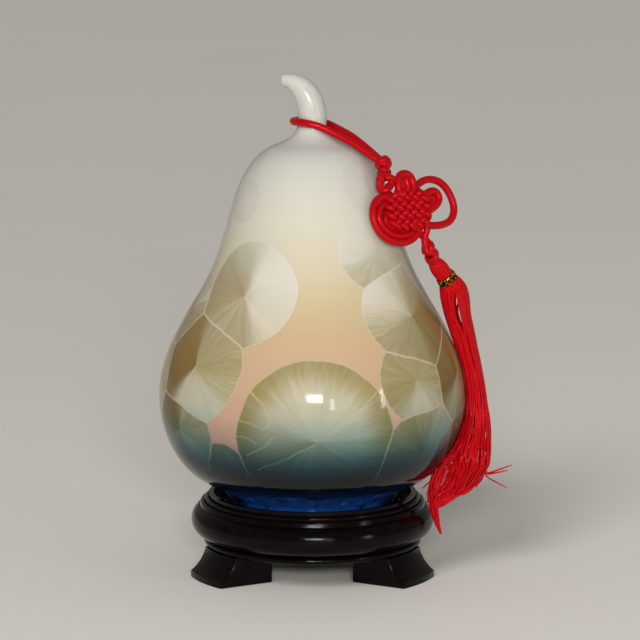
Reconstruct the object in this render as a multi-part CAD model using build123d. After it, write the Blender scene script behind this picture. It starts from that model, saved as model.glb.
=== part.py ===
from build123d import *
import math
import os

# A porcelain gourd vase with a stem for a stopper, on a turned wooden stand, with a cord and tassel.
# Millimetres. The floor is z = 0 and the vase's axis is Z. The front is -Y, and the tassel hangs on +X.

# Stand: three flared feet under a moulded ring, with a dish let into the ring
BACK_FOOT_ANGLE = 90.0
LEFT_FOOT_ANGLE = 210.0
RIGHT_FOOT_ANGLE = 330.0
FOOT_HEIGHT = 11.0
FOOT_WIDTH = 25.0
FOOT_LENGTH = 12.8
FOOT_SPREAD = 7.7
FOOT_TOE = 2.4
FOOT_HEEL = 1.5
FOOT_LIFT = 4.8
FOOT_ARRIS = 0.6
DOWEL_RADIUS = 2.0
DOWEL_DEPTH = 4.5
DOWEL_FIT = 0.05
DOWEL_END_GAP = 0.3
PLINTH_INSET = 3.1
PLINTH_WIDTH = 16.8
PLINTH_BEAD = 1.3
PLINTH_COVE = 0.4
TORUS_RADIUS = 6.5
LEDGE_HEIGHT = 10.0
DISH_MARGIN = 0.5
DISH_FLOOR = 5.0
DISH_EDGE = 4.4
SEAT_STEP = 0.8
SEAT_WIDTH = 4.8
RIM_HEIGHT = 4.9
RIM_LIP = 1.8
RIM_BEAD = 0.85
RIM_STEP = 1.5
GLUE_GAP = 0.1

# Gourd: radii of the outline, and the rise from each of its stations to the next
SEAT_CLEARANCE = 0.4
FOOT_RING_RADIUS = 33.0
FOOT_RING_WIDTH = 4.0
FOOT_RING_DEPTH = 2.0
FOOT_RING_RISE = 2.8
FOOT_FLARE = 0.05
FOOT_EASE = 0.8
UNDERBELLY_RADIUS = 42.6
UNDERBELLY_RISE = 7.8
FLANK_RADIUS = 51.0
FLANK_RISE = 7.2
SIDE_RADIUS = 56.2
SIDE_RISE = 9.7
BELLY_RADIUS = 59.1
BELLY_RISE = 15.0
HIP_RADIUS = 51.0
HIP_RISE = 27.3
WAIST_RADIUS = 39.2
WAIST_RISE = 21.0
BREAST_RADIUS = 32.6
BREAST_RISE = 19.4
SHOULDER_RADIUS = 25.7
SHOULDER_RISE = 18.8
CROWN_RADIUS = 17.0
CROWN_RISE = 9.2
NECK_ROOT_RADIUS = 9.6
NECK_ROOT_RISE = 3.4
NECK_RADIUS = 5.9
NECK_RISE = 4.8
WALL = 4.0
NECK_BORE = 4.0
NECK_BORE_LENGTH = 7.6
INNER_STEPS = 16
INNER_FLOOR_INSET = 9.0
INNER_FOOT_SLOPE = 0.3
INNER_CROWN_SLOPE = 0.3

# Stem: a horn that stands on the neck and bends to the left, with a plug below
PLUG_FIT = 0.25
PLUG_LENGTH = 7.0
PLUG_CHAMFER = 0.6
STEM_RADIUS = 5.5
STEM_TIP_RADIUS = 1.5
STEM_TIP_ROUND = 1.2
STEM_SECTIONS = 9
STEM_TAPER_POWER = 3.0
# Middle line of the stem, across and above the neck
STEM_ROUTE = [(0, 0), (-0.1, 5.0), (-1.2, 9.8), (-3.9, 14.2), (-7.7, 16.9), (-12.0, 17.5)]

# Cord and the knots tied in it
CORD_DIAMETER = 2.9
ARC_SHARE = 0.45
SOFT_CLEARANCE = 0.35
BUTTON_RADIUS = 3.3
BUTTON_PLACE = (26.8, -12.0)
BUTTON_DROP = 12.7
BUTTON_TAIL_RADIUS = 1.9
KNOT_PLACE = (35.8, -17.0)
KNOT_DROP = 29.8
KNOT_TURN = 33.0
KNOT_LEAN = 16.0
KNOT_WIDTH = 21.0
KNOT_HEIGHT = 17.0
KNOT_THICKNESS = 6.0
KNOT_CORNER = 7.5
KNOT_EDGE = 2.4
TOP_LOOP_PLACE = (-8.0, 11.3)
TOP_LOOP_RADIUS = 2.6
KNOT_TAIL_PLACE = (5.6, -5.5)
KNOT_TAIL_RADIUS = 2.4

# Tassel: a small knot, a wrapped cap, a gold binding, a shoulder and a skirt of threads
LOWER_KNOT_PLACE = (6.5, -14.2)
LOWER_KNOT_RADIUS = 3.4
LOWER_KNOT_BALL = 2.2
CAP_START = (46.4, -14.0, -50.2)
CAP_RADIUS = 4.4
NECK_START = (50.4, -10.8, -55.9)
TASSEL_NECK_RADIUS = 3.0
BINDING_RADIUS = 1.2
SHOULDER_PLACE = (53.5, -8.0, -60.6)
SHOULDER_SWELL = 4.8
# Skirt sections: drop below the neck, depth, half thickness, half width, gap to the gourd
SKIRT_SECTIONS = [
    (64.6, -7.0, 5.4, 5.4, 5.4),
    (79.4, -4.5, 4.4, 6.4, 0.9),
    (91.1, -3.0, 3.4, 7.6, 0.6),
    (104.7, -2.5, 3.5, 8.6, 0.6),
    (114.7, -4.5, 5.2, 9.2, 0.6),
    (122.4, -9.0, 8.0, 9.4, 0.4),
    (130.4, -15.0, 11.6, 9.0, -1.6),
    (139.4, -15.0, 9.6, 7.6, 6.2),
]
# Lock of threads that hangs lowest: place, drop below the neck and radius
LOCK_SECTIONS = [
    (48.8, -14.0, 135.0, 2.8),
    (47.2, -16.0, 145.6, 2.3),
    (48.9, -16.0, 155.2, 0.6),
]

# Heights and radii worked out from the sizes above
LEDGE_Z = FOOT_HEIGHT + LEDGE_HEIGHT
SEAT_Z = LEDGE_Z + DISH_FLOOR
RIM_Z = SEAT_Z + RIM_HEIGHT
TORUS_Z = FOOT_HEIGHT + 2 * PLINTH_BEAD + PLINTH_COVE + TORUS_RADIUS
RECESS_RADIUS = FOOT_RING_RADIUS + SEAT_CLEARANCE
RIM_RADIUS = RECESS_RADIUS + SEAT_WIDTH + RIM_LIP
DISH_RADIUS = RIM_RADIUS + 4 * RIM_BEAD + DISH_MARGIN
PLINTH_RADIUS = DISH_RADIUS - PLINTH_INSET
PLINTH_BORE = PLINTH_RADIUS - PLINTH_WIDTH
DOWEL_RING = PLINTH_RADIUS - FOOT_LENGTH / 2
FOOT_ANGLES = {
    "foot_back": BACK_FOOT_ANGLE,
    "foot_front_left": LEFT_FOOT_ANGLE,
    "foot_front_right": RIGHT_FOOT_ANGLE,
}
GOURD_STATIONS = [
    (FOOT_RING_RADIUS, FOOT_RING_RISE),
    (UNDERBELLY_RADIUS, UNDERBELLY_RISE),
    (FLANK_RADIUS, FLANK_RISE),
    (SIDE_RADIUS, SIDE_RISE),
    (BELLY_RADIUS, BELLY_RISE),
    (HIP_RADIUS, HIP_RISE),
    (WAIST_RADIUS, WAIST_RISE),
    (BREAST_RADIUS, BREAST_RISE),
    (SHOULDER_RADIUS, SHOULDER_RISE),
    (CROWN_RADIUS, CROWN_RISE),
    (NECK_ROOT_RADIUS, NECK_ROOT_RISE),
    (NECK_RADIUS, NECK_RISE),
]
NECK_Z = SEAT_Z + sum(rise for _, rise in GOURD_STATIONS)


# Alignment of a cylinder that stands on its place
STANDING = (Align.CENTER, Align.CENTER, Align.MIN)


def turned(outline):
    """Solid of revolution round Z from a closed outline of radius and height."""
    return revolve(Plane.XZ * make_face(outline), Axis.Z)


# Stand


def dowel_hole():
    return Cylinder(DOWEL_RADIUS + DOWEL_FIT, DOWEL_DEPTH + DOWEL_END_GAP, align=STANDING)


def stand_foot(angle):
    outer_top = (PLINTH_RADIUS + FOOT_HEEL, FOOT_HEIGHT)
    toe = (PLINTH_RADIUS + FOOT_SPREAD, FOOT_TOE)
    inner = PLINTH_RADIUS - FOOT_LENGTH
    outline = Polyline((inner, FOOT_HEIGHT), (inner, 0), (toe[0], 0), toe)
    outline += TangentArc(toe, outer_top, tangent=(-FOOT_SPREAD, FOOT_LIFT))
    outline += Line(outer_top, (inner, FOOT_HEIGHT))
    reach = 2 * (PLINTH_RADIUS + FOOT_SPREAD)
    block = Pos(reach / 2, 0, FOOT_HEIGHT / 2) * Box(reach, FOOT_WIDTH, FOOT_HEIGHT)
    foot = turned(outline) & block
    sides = foot.faces().filter_by(Axis.Y)
    foot = fillet(sides.edges().filter_by(lambda edge: edge.center().X > DOWEL_RING), FOOT_ARRIS)
    hole = Pos(DOWEL_RING, 0, FOOT_HEIGHT - DOWEL_DEPTH - DOWEL_END_GAP) * dowel_hole()
    return Rot(0, 0, angle) * (foot - hole)


def foot_dowels():
    dowel = Pos(DOWEL_RING, 0, FOOT_HEIGHT) * Cylinder(DOWEL_RADIUS, 2 * DOWEL_DEPTH)
    return Compound([Rot(0, 0, angle) * dowel for angle in FOOT_ANGLES.values()])


def stand_plinth():
    bead_top = FOOT_HEIGHT + 2 * PLINTH_BEAD
    torus_foot = (PLINTH_RADIUS - PLINTH_COVE, bead_top + PLINTH_COVE)
    rebate = DISH_RADIUS + GLUE_GAP
    torus_end = TORUS_Z + math.sqrt(TORUS_RADIUS**2 - (torus_foot[0] - rebate) ** 2)
    outline = Line((PLINTH_BORE, FOOT_HEIGHT), (PLINTH_RADIUS, FOOT_HEIGHT))
    outline += ThreePointArc(
        (PLINTH_RADIUS, FOOT_HEIGHT),
        (PLINTH_RADIUS + PLINTH_BEAD, FOOT_HEIGHT + PLINTH_BEAD),
        (PLINTH_RADIUS, bead_top),
    )
    outline += Line((PLINTH_RADIUS, bead_top), torus_foot)
    outline += ThreePointArc(torus_foot, (torus_foot[0] + TORUS_RADIUS, TORUS_Z), (rebate, torus_end))
    outline += Polyline(
        (rebate, torus_end), (rebate, LEDGE_Z), (PLINTH_BORE, LEDGE_Z), (PLINTH_BORE, FOOT_HEIGHT)
    )
    plinth = turned(outline)
    for angle in FOOT_ANGLES.values():
        plinth -= Rot(0, 0, angle) * Pos(DOWEL_RING, 0, FOOT_HEIGHT) * dowel_hole()
    return plinth


def stand_dish():
    step_z = SEAT_Z + SEAT_STEP
    inner = RECESS_RADIUS + SEAT_WIDTH
    recess = [(RECESS_RADIUS, SEAT_Z), (RECESS_RADIUS, step_z), (inner, step_z), (inner, RIM_Z)]
    outline = Polyline((0, LEDGE_Z), (0, SEAT_Z), *recess, (RIM_RADIUS, RIM_Z))
    last = Vector(RIM_RADIUS, RIM_Z)
    for step in (1, 2):
        foot_of_bead = RIM_Z - step * RIM_STEP - RIM_BEAD
        left = Vector(RIM_RADIUS + 2 * RIM_BEAD * (step - 1), foot_of_bead)
        right = left + Vector(2 * RIM_BEAD, 0)
        outline += Line(last, left)
        outline += ThreePointArc(left, left + Vector(RIM_BEAD, RIM_BEAD), right)
        last = right
    edge = (DISH_RADIUS, LEDGE_Z + DISH_EDGE)
    outline += Polyline(last, edge, (DISH_RADIUS, LEDGE_Z), (0, LEDGE_Z))
    return turned(outline)


# Gourd and its stopper


def gourd_stations():
    height = SEAT_Z
    points = []
    for radius, rise in GOURD_STATIONS:
        height += rise
        points.append((radius, height))
    return points


GOURD_CURVE = Spline(
    *gourd_stations(), tangents=((FOOT_FLARE, 1), (0, 1)), tangent_scalars=(FOOT_EASE, 1)
)


def gourd_at(height):
    """Place on the gourd's outline at a height, as a share of its curve, by halving the span."""
    low, high = 0.0, 1.0
    while high - low > 1e-6:
        middle = (low + high) / 2
        if GOURD_CURVE.position_at(middle).Y < height:
            low = middle
        else:
            high = middle
    return low


def gourd_radius(height):
    return GOURD_CURVE.position_at(gourd_at(height)).X


def inside_of(height):
    """Point of the inner wall, one wall's thickness square in from the outline at a height."""
    share = gourd_at(height)
    outward = GOURD_CURVE.tangent_at(share)
    return GOURD_CURVE.position_at(share) - Vector(outward.Y, -outward.X) * WALL


def gourd_body():
    foot = Polyline((0, SEAT_Z), (FOOT_RING_RADIUS, SEAT_Z), gourd_stations()[0])
    outside = foot + GOURD_CURVE + Polyline((NECK_RADIUS, NECK_Z), (0, NECK_Z), (0, SEAT_Z))
    floor = SEAT_Z + FOOT_RING_DEPTH + WALL
    bore_foot = NECK_Z - NECK_BORE_LENGTH
    floor_edge = (FOOT_RING_RADIUS - INNER_FLOOR_INSET, floor)
    low, high = floor + WALL, gourd_stations()[-3][1]
    heights = [low + (high - low) * step / INNER_STEPS for step in range(INNER_STEPS + 1)]
    wall_points = [inside_of(height) for height in heights]
    slopes = ((1, INNER_FOOT_SLOPE), (-1, INNER_CROWN_SLOPE))
    wall = Spline(floor_edge, *wall_points, (NECK_BORE, bore_foot), tangents=slopes)
    inside = Line((0, floor), floor_edge) + wall
    inside += Polyline((NECK_BORE, bore_foot), (NECK_BORE, NECK_Z), (0, NECK_Z), (0, floor))
    under = Pos(0, 0, SEAT_Z) * Cylinder(FOOT_RING_RADIUS - FOOT_RING_WIDTH, FOOT_RING_DEPTH, align=STANDING)
    return turned(outside) - turned(inside) - under


def stem_stopper():
    line = Spline(*[(x, 0, NECK_Z + z) for x, z in STEM_ROUTE], tangents=((0, 0, 1), (-1, 0, 0)))
    sections = []
    for step in range(STEM_SECTIONS):
        share = step / (STEM_SECTIONS - 1)
        radius = STEM_RADIUS - (STEM_RADIUS - STEM_TIP_RADIUS) * share**STEM_TAPER_POWER
        sections.append(Plane(line @ share, x_dir=(0, 1, 0), z_dir=line % share) * Circle(radius))
    stem = loft(sections)
    tip = stem.faces().sort_by(Axis.X)[0]
    stem = fillet(tip.edges(), STEM_TIP_ROUND)
    plug = Pos(0, 0, NECK_Z - PLUG_LENGTH) * Cylinder(NECK_BORE - PLUG_FIT, PLUG_LENGTH, align=STANDING)
    plug = chamfer(plug.edges().sort_by(Axis.Z)[0], PLUG_CHAMFER)
    return stem + plug


# Cord and knots

KNOT_CENTRE = Vector(*KNOT_PLACE, NECK_Z - KNOT_DROP)
KNOT_ACROSS = Vector(math.cos(math.radians(KNOT_TURN)), math.sin(math.radians(KNOT_TURN)), 0)
KNOT_FACING = Vector(KNOT_ACROSS.Y, -KNOT_ACROSS.X, math.tan(math.radians(KNOT_LEAN)))
KNOT_PLANE = Plane(KNOT_CENTRE, x_dir=KNOT_ACROSS, z_dir=KNOT_FACING)
BUTTON_CENTRE = Vector(*BUTTON_PLACE, NECK_Z - BUTTON_DROP)
TOP_LOOP_CENTRE = KNOT_PLANE.from_local_coords(Vector(*TOP_LOOP_PLACE, 0))
TASSEL_PIVOT = KNOT_PLANE.from_local_coords(Vector(*LOWER_KNOT_PLACE, 0))

# Cord round the stem, from the front leg's end to the back leg's, with heights from the neck
LOOP_ROUTE = [
    (23.9, -12.9, -11.5),
    (17.8, -10.2, -6.6),
    (10.2, -8.0, -2.8),
    (3.0, -7.4, 0.8),
    (-3.0, -7.25, 2.3),
    (-7.25, -3.0, 2.1),
    (-7.25, 3.0, 1.9),
    (-3.0, 7.25, 1.7),
    (4.5, 7.4, 1.0),
    (10.5, 2.4, -1.5),
    (17.1, -3.6, -4.5),
    (24.4, -9.4, -10.2),
]

# Loops that stand out of the woven knot, across it and up it from its centre
UPPER_EAR_ROUTE = [(-3.3, 7.0), (-3.5, 13.4), (0.4, 15.6), (3.9, 12.6), (3.2, 7.0)]
RIGHT_EAR_ROUTE = [(3.6, 7.6), (10.5, 11.2), (18.2, 8.8), (21.9, -0.4), (18.2, -6.4), (8.0, -7.2)]
INNER_EAR_ROUTE = [(8.0, 4.6), (13.0, 6.6), (15.0, 2.6), (9.6, -1.8)]
LEFT_EAR_ROUTE = [(-7.0, 6.0), (-13.3, 4.8), (-15.8, -2.5), (-11.9, -9.8), (-2.5, -12.2), (4.4, -8.6)]


def corner_radius(before, corner, after):
    """Largest arc that the two runs at a corner leave room for."""
    run_in = corner - before
    run_out = after - corner
    half_turn = math.radians(run_in.get_angle(run_out)) / 2
    return ARC_SHARE * min(run_in.length, run_out.length) / math.tan(half_turn)


def cord_along(name, points):
    """Tube of cord on straight runs joined by tangent arcs."""
    radii = [corner_radius(*points[i : i + 3]) for i in range(len(points) - 2)]
    path = FilletPolyline(*points, radius=radii)
    tube = sweep(Plane(path @ 0, z_dir=path % 0) * Circle(CORD_DIAMETER / 2), path=path)
    expected = math.pi * CORD_DIAMETER**2 / 4 * path.length
    print(name, "arc radii", [round(radius, 1) for radius in radii], "length", round(path.length, 1))
    print(name, "volume over section times length", round(tube.volume / expected, 4))
    return tube


def hanging_loop():
    tube = cord_along("hanging_loop", [Vector(x, y, NECK_Z + z) for x, y, z in LOOP_ROUTE])
    return tube - Pos(BUTTON_CENTRE) * Sphere(BUTTON_RADIUS + SOFT_CLEARANCE)


def rod(start, end, radius):
    run = end - start
    return Plane(start, z_dir=run) * Cylinder(radius, run.length, align=STANDING)


def button_knot():
    """Round knot with a short tail of cord that runs into the top loop."""
    tail_end = TOP_LOOP_CENTRE + (BUTTON_CENTRE - TOP_LOOP_CENTRE).normalized() * TOP_LOOP_RADIUS
    return Pos(BUTTON_CENTRE) * Sphere(BUTTON_RADIUS) + rod(BUTTON_CENTRE, tail_end, BUTTON_TAIL_RADIUS)


def woven_knot():
    """Flat knot with a short tail of cord that runs to the tassel's pivot."""
    body = extrude(RectangleRounded(KNOT_WIDTH, KNOT_HEIGHT, KNOT_CORNER), KNOT_THICKNESS / 2, both=True)
    rims = body.faces().filter_by(Axis.Z).edges()
    body = KNOT_PLANE * fillet(rims, KNOT_EDGE)
    tail_start = KNOT_PLANE.from_local_coords(Vector(*KNOT_TAIL_PLACE, 0))
    tail_end = TASSEL_PIVOT + (tail_start - TASSEL_PIVOT).normalized() * LOWER_KNOT_BALL
    body += rod(tail_start, tail_end, KNOT_TAIL_RADIUS)
    return body - Pos(TASSEL_PIVOT) * Sphere(LOWER_KNOT_BALL + SOFT_CLEARANCE)


def knot_top_loop():
    ring = KNOT_PLANE * Pos(*TOP_LOOP_PLACE) * Torus(TOP_LOOP_RADIUS, CORD_DIAMETER / 2)
    return ring - woven_knot() - button_knot()


def knot_ear(name, route, *in_the_way):
    ear = cord_along(name, [KNOT_PLANE.from_local_coords(Vector(*point, 0)) for point in route])
    for solid in (woven_knot(), *in_the_way):
        ear -= solid
    return ear.solids().sort_by(SortBy.VOLUME)[-1]


# Tassel


def below_neck(place):
    return Vector(place[0], place[1], NECK_Z + place[2])


def bulb(start, end, swell):
    """Round solid along a line from start to end, fattest at the middle."""
    length = (end - start).length
    side = Spline((0, 0), (swell, length / 2), (0, length), tangents=((1, 0), (-1, 0)))
    return Plane(start, z_dir=end - start) * turned(side + Line((0, length), (0, 0)))


def lower_knot():
    ball = Pos(TASSEL_PIVOT) * Sphere(LOWER_KNOT_BALL)
    return ball + bulb(TASSEL_PIVOT, below_neck(CAP_START), LOWER_KNOT_RADIUS)


def tassel_axis():
    return (below_neck(NECK_START) - below_neck(CAP_START)).normalized()


def tassel_cap():
    start = below_neck(CAP_START) - tassel_axis() * CAP_RADIUS / 4
    cap = bulb(start, below_neck(NECK_START) + tassel_axis() * CAP_RADIUS / 4, CAP_RADIUS)
    return cap - lower_knot()


def skirt_section(drop, depth, half_thickness, half_width, gap):
    height = NECK_Z - drop
    centre = gourd_radius(height) + gap + half_thickness
    return Pos(centre, depth, height) * Ellipse(half_thickness, half_width)


def tassel_head():
    """Shoulder of the tassel, from the neck under the binding to the top of the skirt."""
    neck = Plane(below_neck(NECK_START), x_dir=(0, 1, 0), z_dir=tassel_axis())
    bend = Plane(below_neck(SHOULDER_PLACE), x_dir=(0, 1, 0), z_dir=tassel_axis() + Vector(0, 0, -1))
    drop, depth, half_thickness, _, gap = SKIRT_SECTIONS[0]
    end = gourd_radius(NECK_Z - drop) + gap + half_thickness
    top_of_skirt = Plane((end, depth, NECK_Z - drop), x_dir=(0, 1, 0), z_dir=(0, 0, -1))
    sections = [neck * Circle(TASSEL_NECK_RADIUS), bend * Circle(SHOULDER_SWELL)]
    sections.append(top_of_skirt * Circle(half_thickness))
    return loft(sections) - tassel_cap()


def gold_binding():
    middle = below_neck(NECK_START) + tassel_axis() * BINDING_RADIUS
    ring = Torus(TASSEL_NECK_RADIUS + BINDING_RADIUS / 2, BINDING_RADIUS)
    return Plane(middle, z_dir=tassel_axis()) * ring - tassel_head() - tassel_cap()


def tassel_skirt():
    skirt = loft([skirt_section(*section) for section in SKIRT_SECTIONS])
    lock = loft([Pos(x, y, NECK_Z - drop) * Circle(radius) for x, y, drop, radius in LOCK_SECTIONS])
    return skirt + lock


def main():
    pieces = {name: stand_foot(angle) for name, angle in FOOT_ANGLES.items()}
    pieces["foot_dowels"] = foot_dowels()
    pieces["stand_plinth"] = stand_plinth()
    pieces["stand_dish"] = stand_dish()
    pieces["gourd_body"] = gourd_body()
    pieces["stem_stopper"] = stem_stopper()
    pieces["hanging_loop"] = hanging_loop()
    pieces["button_knot"] = button_knot()
    pieces["woven_knot"] = woven_knot()
    pieces["knot_top_loop"] = knot_top_loop()
    pieces["knot_upper_ear"] = knot_ear("knot_upper_ear", UPPER_EAR_ROUTE, knot_top_loop())
    pieces["knot_right_ear"] = knot_ear("knot_right_ear", RIGHT_EAR_ROUTE, pieces["knot_upper_ear"])
    pieces["knot_inner_ear"] = knot_ear("knot_inner_ear", INNER_EAR_ROUTE, pieces["knot_right_ear"])
    pieces["knot_left_ear"] = knot_ear("knot_left_ear", LEFT_EAR_ROUTE, knot_top_loop())
    pieces["lower_knot"] = lower_knot()
    pieces["tassel_cap"] = tassel_cap()
    pieces["gold_binding"] = gold_binding()
    pieces["tassel_head"] = tassel_head()
    pieces["tassel_skirt"] = tassel_skirt()
    os.makedirs("parts", exist_ok=True)
    for name, piece in pieces.items():
        export_step(piece, f"parts/{name}.step")
    print("swing pivot", BUTTON_CENTRE, "tassel pivot", TASSEL_PIVOT, "neck", NECK_Z)


main()
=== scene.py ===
import math
import random

import bpy
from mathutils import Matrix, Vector
from mathutils.bvhtree import BVHTree


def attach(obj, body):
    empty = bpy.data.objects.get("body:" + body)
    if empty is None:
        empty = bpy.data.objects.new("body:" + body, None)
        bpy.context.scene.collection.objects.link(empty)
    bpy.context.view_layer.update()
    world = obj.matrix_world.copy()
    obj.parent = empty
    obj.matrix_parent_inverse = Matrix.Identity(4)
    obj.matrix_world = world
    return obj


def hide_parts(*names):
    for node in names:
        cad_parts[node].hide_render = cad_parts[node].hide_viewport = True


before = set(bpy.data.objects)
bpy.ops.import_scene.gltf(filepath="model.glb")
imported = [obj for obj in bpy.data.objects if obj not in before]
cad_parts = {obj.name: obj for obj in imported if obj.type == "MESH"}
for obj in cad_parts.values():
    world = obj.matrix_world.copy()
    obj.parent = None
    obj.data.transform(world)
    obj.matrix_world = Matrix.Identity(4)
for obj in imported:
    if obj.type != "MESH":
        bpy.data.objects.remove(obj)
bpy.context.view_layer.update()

# A porcelain gourd vase with a crystalline glaze, on a lacquered stand, with a knotted red cord and tassel.
# Sizes below are in millimetres unless a name says otherwise, and are made metres where a piece is built.

MM = 0.001
NECK_Z = 172.4

# Places that the solids share with this scene
CORD_DIAMETER = 2.9
BUTTON_CENTRE = Vector((26.8, -12.0, 159.7))
KNOT_CENTRE = Vector((35.8, -17.0, 142.6))
KNOT_TURN = math.radians(33.0)
KNOT_LEAN = math.radians(16.0)
TASSEL_PIVOT = Vector((43.3831, -16.7424, 128.95))
CAP_START = Vector((46.4, -14.0, 122.2))
NECK_START = Vector((50.4, -10.8, 116.5))
SHOULDER_PLACE = Vector((53.5, -8.0, 111.8))

# Cord round the stem, from the front leg's end to the back leg's, with heights above the neck
LOOP_ROUTE = [
    (25.4, -12.6, -12.2),
    (17.8, -10.2, -6.6),
    (10.2, -8.0, -2.8),
    (3.0, -7.4, 0.8),
    (-3.0, -7.25, 2.3),
    (-7.25, -3.0, 2.1),
    (-7.25, 3.0, 1.9),
    (-3.0, 7.25, 1.7),
    (4.5, 7.4, 1.0),
    (10.5, 2.4, -1.5),
    (17.1, -3.6, -4.5),
    (25.8, -10.8, -11.7),
]

# Loops that stand out of the woven knot, across it and up it from its centre
UPPER_EAR_ROUTE = [(-1.5, 2.0), (-2.9, 6.0), (-2.7, 12.4), (0.6, 14.4), (4.3, 12.2), (3.6, 6.0), (1.0, 2.0)]
RIGHT_EAR_ROUTE = [
    (-1.0, 3.5), (2.6, 6.6), (10.5, 11.8), (18.8, 9.4), (22.6, -0.4), (18.6, -7.0), (6.0, -6.6), (1.0, -4.0),
]
INNER_EAR_ROUTE = [(2.5, 1.0), (6.0, 4.0), (13.4, 7.4), (15.8, 2.2), (7.6, -2.2), (3.0, -2.6)]
LEFT_EAR_ROUTE = [
    (-2.0, 3.0), (-6.0, 6.0), (-13.9, 5.4), (-16.6, -2.5),
    (-12.3, -10.4), (-2.5, -13.0), (5.2, -8.0), (4.0, -3.5),
]
# Second rounds that fill the tight ears, set a little back
UPPER_EAR_FILL = [(-0.6, 5.0), (-0.7, 12.6), (2.5, 12.4), (1.8, 5.0)]
INNER_EAR_FILL = [(5.0, 1.6), (11.8, 5.4), (13.2, 1.8), (6.0, -0.8)]
LEFT_EAR_FILL = [(-6.0, 3.4), (-11.2, 3.2), (-13.6, -2.3), (-9.9, -8.4), (-1.8, -10.4), (4.0, -7.0)]
LEFT_EAR_FILL_INNER = [(-7.0, 1.0), (-10.4, -1.6), (-8.0, -6.4), (-1.6, -8.2), (3.0, -6.0)]
# Small loop above the woven knot, across it and up it from its centre
TOP_LOOP_AT = (-8.0, 11.3)
TOP_LOOP_RADIUS = 2.9


def srgb(red, green, blue):
    """Linear colour of a picture colour from 0 to 255."""
    parts = []
    for value in (red, green, blue):
        share = value / 255
        parts.append(share / 12.92 if share <= 0.04045 else ((share + 0.055) / 1.055) ** 2.4)
    return (*parts, 1.0)


# Modelling helpers


def deselect():
    bpy.ops.object.select_all(action="DESELECT")


def take(piece):
    """Makes a piece the only selected one, and the active one."""
    deselect()
    piece.select_set(True)
    bpy.context.view_layer.objects.active = piece


def join(name, pieces):
    deselect()
    for piece in pieces:
        piece.select_set(True)
    bpy.context.view_layer.objects.active = pieces[0]
    bpy.ops.object.join()
    whole = bpy.context.object
    whole.name = name
    whole.data.name = name
    return whole


def curve_piece(name, routes, radius, around=2, along=6):
    """Curve of smooth splines, each through a route's control points, with an optional radius per point."""
    curve = bpy.data.curves.new(name, "CURVE")
    curve.dimensions = "3D"
    curve.bevel_depth = radius * MM
    curve.bevel_resolution = around
    curve.resolution_u = along
    curve.use_fill_caps = True
    for route in routes:
        spline = curve.splines.new("NURBS")
        spline.points.add(len(route) - 1)
        for point, place in zip(spline.points, route):
            point.co = (place[0] * MM, place[1] * MM, place[2] * MM, 1.0)
            point.radius = place[3] if len(place) > 3 else 1.0
        spline.order_u = 3
        spline.use_endpoint_u = True
    piece = bpy.data.objects.new(name, curve)
    bpy.context.collection.objects.link(piece)
    return piece


def as_mesh(piece):
    take(piece)
    bpy.ops.object.convert(target="MESH")
    piece = bpy.context.object
    bpy.ops.object.shade_smooth()
    return piece


def cords(name, routes, radius, around=3, along=6):
    return as_mesh(curve_piece(name, routes, radius, around, along))


def dress(piece, body, slot, material, *nodes):
    """Gives a piece its finish, the body that it moves with, and the solids that it stands for."""
    piece.data.materials.clear()
    piece.data.materials.append(material)
    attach(piece, body)
    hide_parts(*nodes)


# Shader helpers


class Graph:
    """Adds nodes to a tree, and links what it is given or sets it as a constant."""

    def __init__(self, tree):
        self.tree = tree

    def node(self, kind, inputs=None, **settings):
        node = self.tree.nodes.new(kind)
        for key, value in settings.items():
            setattr(node, key, value)
        for key, value in (inputs or {}).items():
            self.put(node.inputs[key], value)
        return node

    def put(self, socket, value):
        if isinstance(value, bpy.types.NodeSocket):
            self.tree.links.new(value, socket)
        else:
            socket.default_value = value

    def math(self, operation, *values, clamp=False):
        inputs = dict(enumerate(values))
        return self.node("ShaderNodeMath", inputs, operation=operation, use_clamp=clamp).outputs[0]

    def vector(self, operation, *values, out=0):
        inputs = dict(enumerate(values))
        return self.node("ShaderNodeVectorMath", inputs, operation=operation).outputs[out]

    def join(self, x, y, z):
        return self.node("ShaderNodeCombineXYZ", {0: x, 1: y, 2: z}).outputs[0]

    def split(self, vector):
        return self.node("ShaderNodeSeparateXYZ", {0: vector}).outputs

    def mix(self, share, first, second, kind="RGBA", mode="MIX"):
        node = self.node("ShaderNodeMix", data_type=kind, blend_type=mode)
        places = {"FLOAT": (0, 2, 3, 0), "VECTOR": (0, 4, 5, 1), "RGBA": (0, 6, 7, 2)}[kind]
        for place, value in zip(places, (share, first, second)):
            self.put(node.inputs[place], value)
        return node.outputs[places[3]]

    def step(self, value, low, high, out_low=0.0, out_high=1.0):
        inputs = {0: value, 1: low, 2: high, 3: out_low, 4: out_high}
        return self.node("ShaderNodeMapRange", inputs, interpolation_type="SMOOTHSTEP").outputs[0]

    def ramp(self, value, stops):
        node = self.node("ShaderNodeValToRGB", {0: value})
        elements = node.color_ramp.elements
        while len(elements) < len(stops):
            elements.new(1.0)
        for element, (place, colour) in zip(elements, stops):
            element.position = place
            element.color = colour
        return node.outputs[0]

    def noise(self, vector, scale, detail=2.0, roughness=0.5, out="Fac"):
        inputs = {"Vector": vector, "Scale": scale, "Detail": detail, "Roughness": roughness}
        return self.node("ShaderNodeTexNoise", inputs).outputs[out]


def new_group(name, inputs, outputs):
    """Shader node group with named sockets, as its graph, its inputs and its output node."""
    tree = bpy.data.node_groups.new(name, "ShaderNodeTree")
    kinds = {"F": "NodeSocketFloat", "V": "NodeSocketVector"}
    for label, kind in inputs:
        tree.interface.new_socket(label, in_out="INPUT", socket_type=kinds[kind])
    for label, kind in outputs:
        tree.interface.new_socket(label, in_out="OUTPUT", socket_type=kinds[kind])
    graph = Graph(tree)
    start = graph.node("NodeGroupInput")
    end = graph.node("NodeGroupOutput")
    return graph, start.outputs, end.inputs


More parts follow.
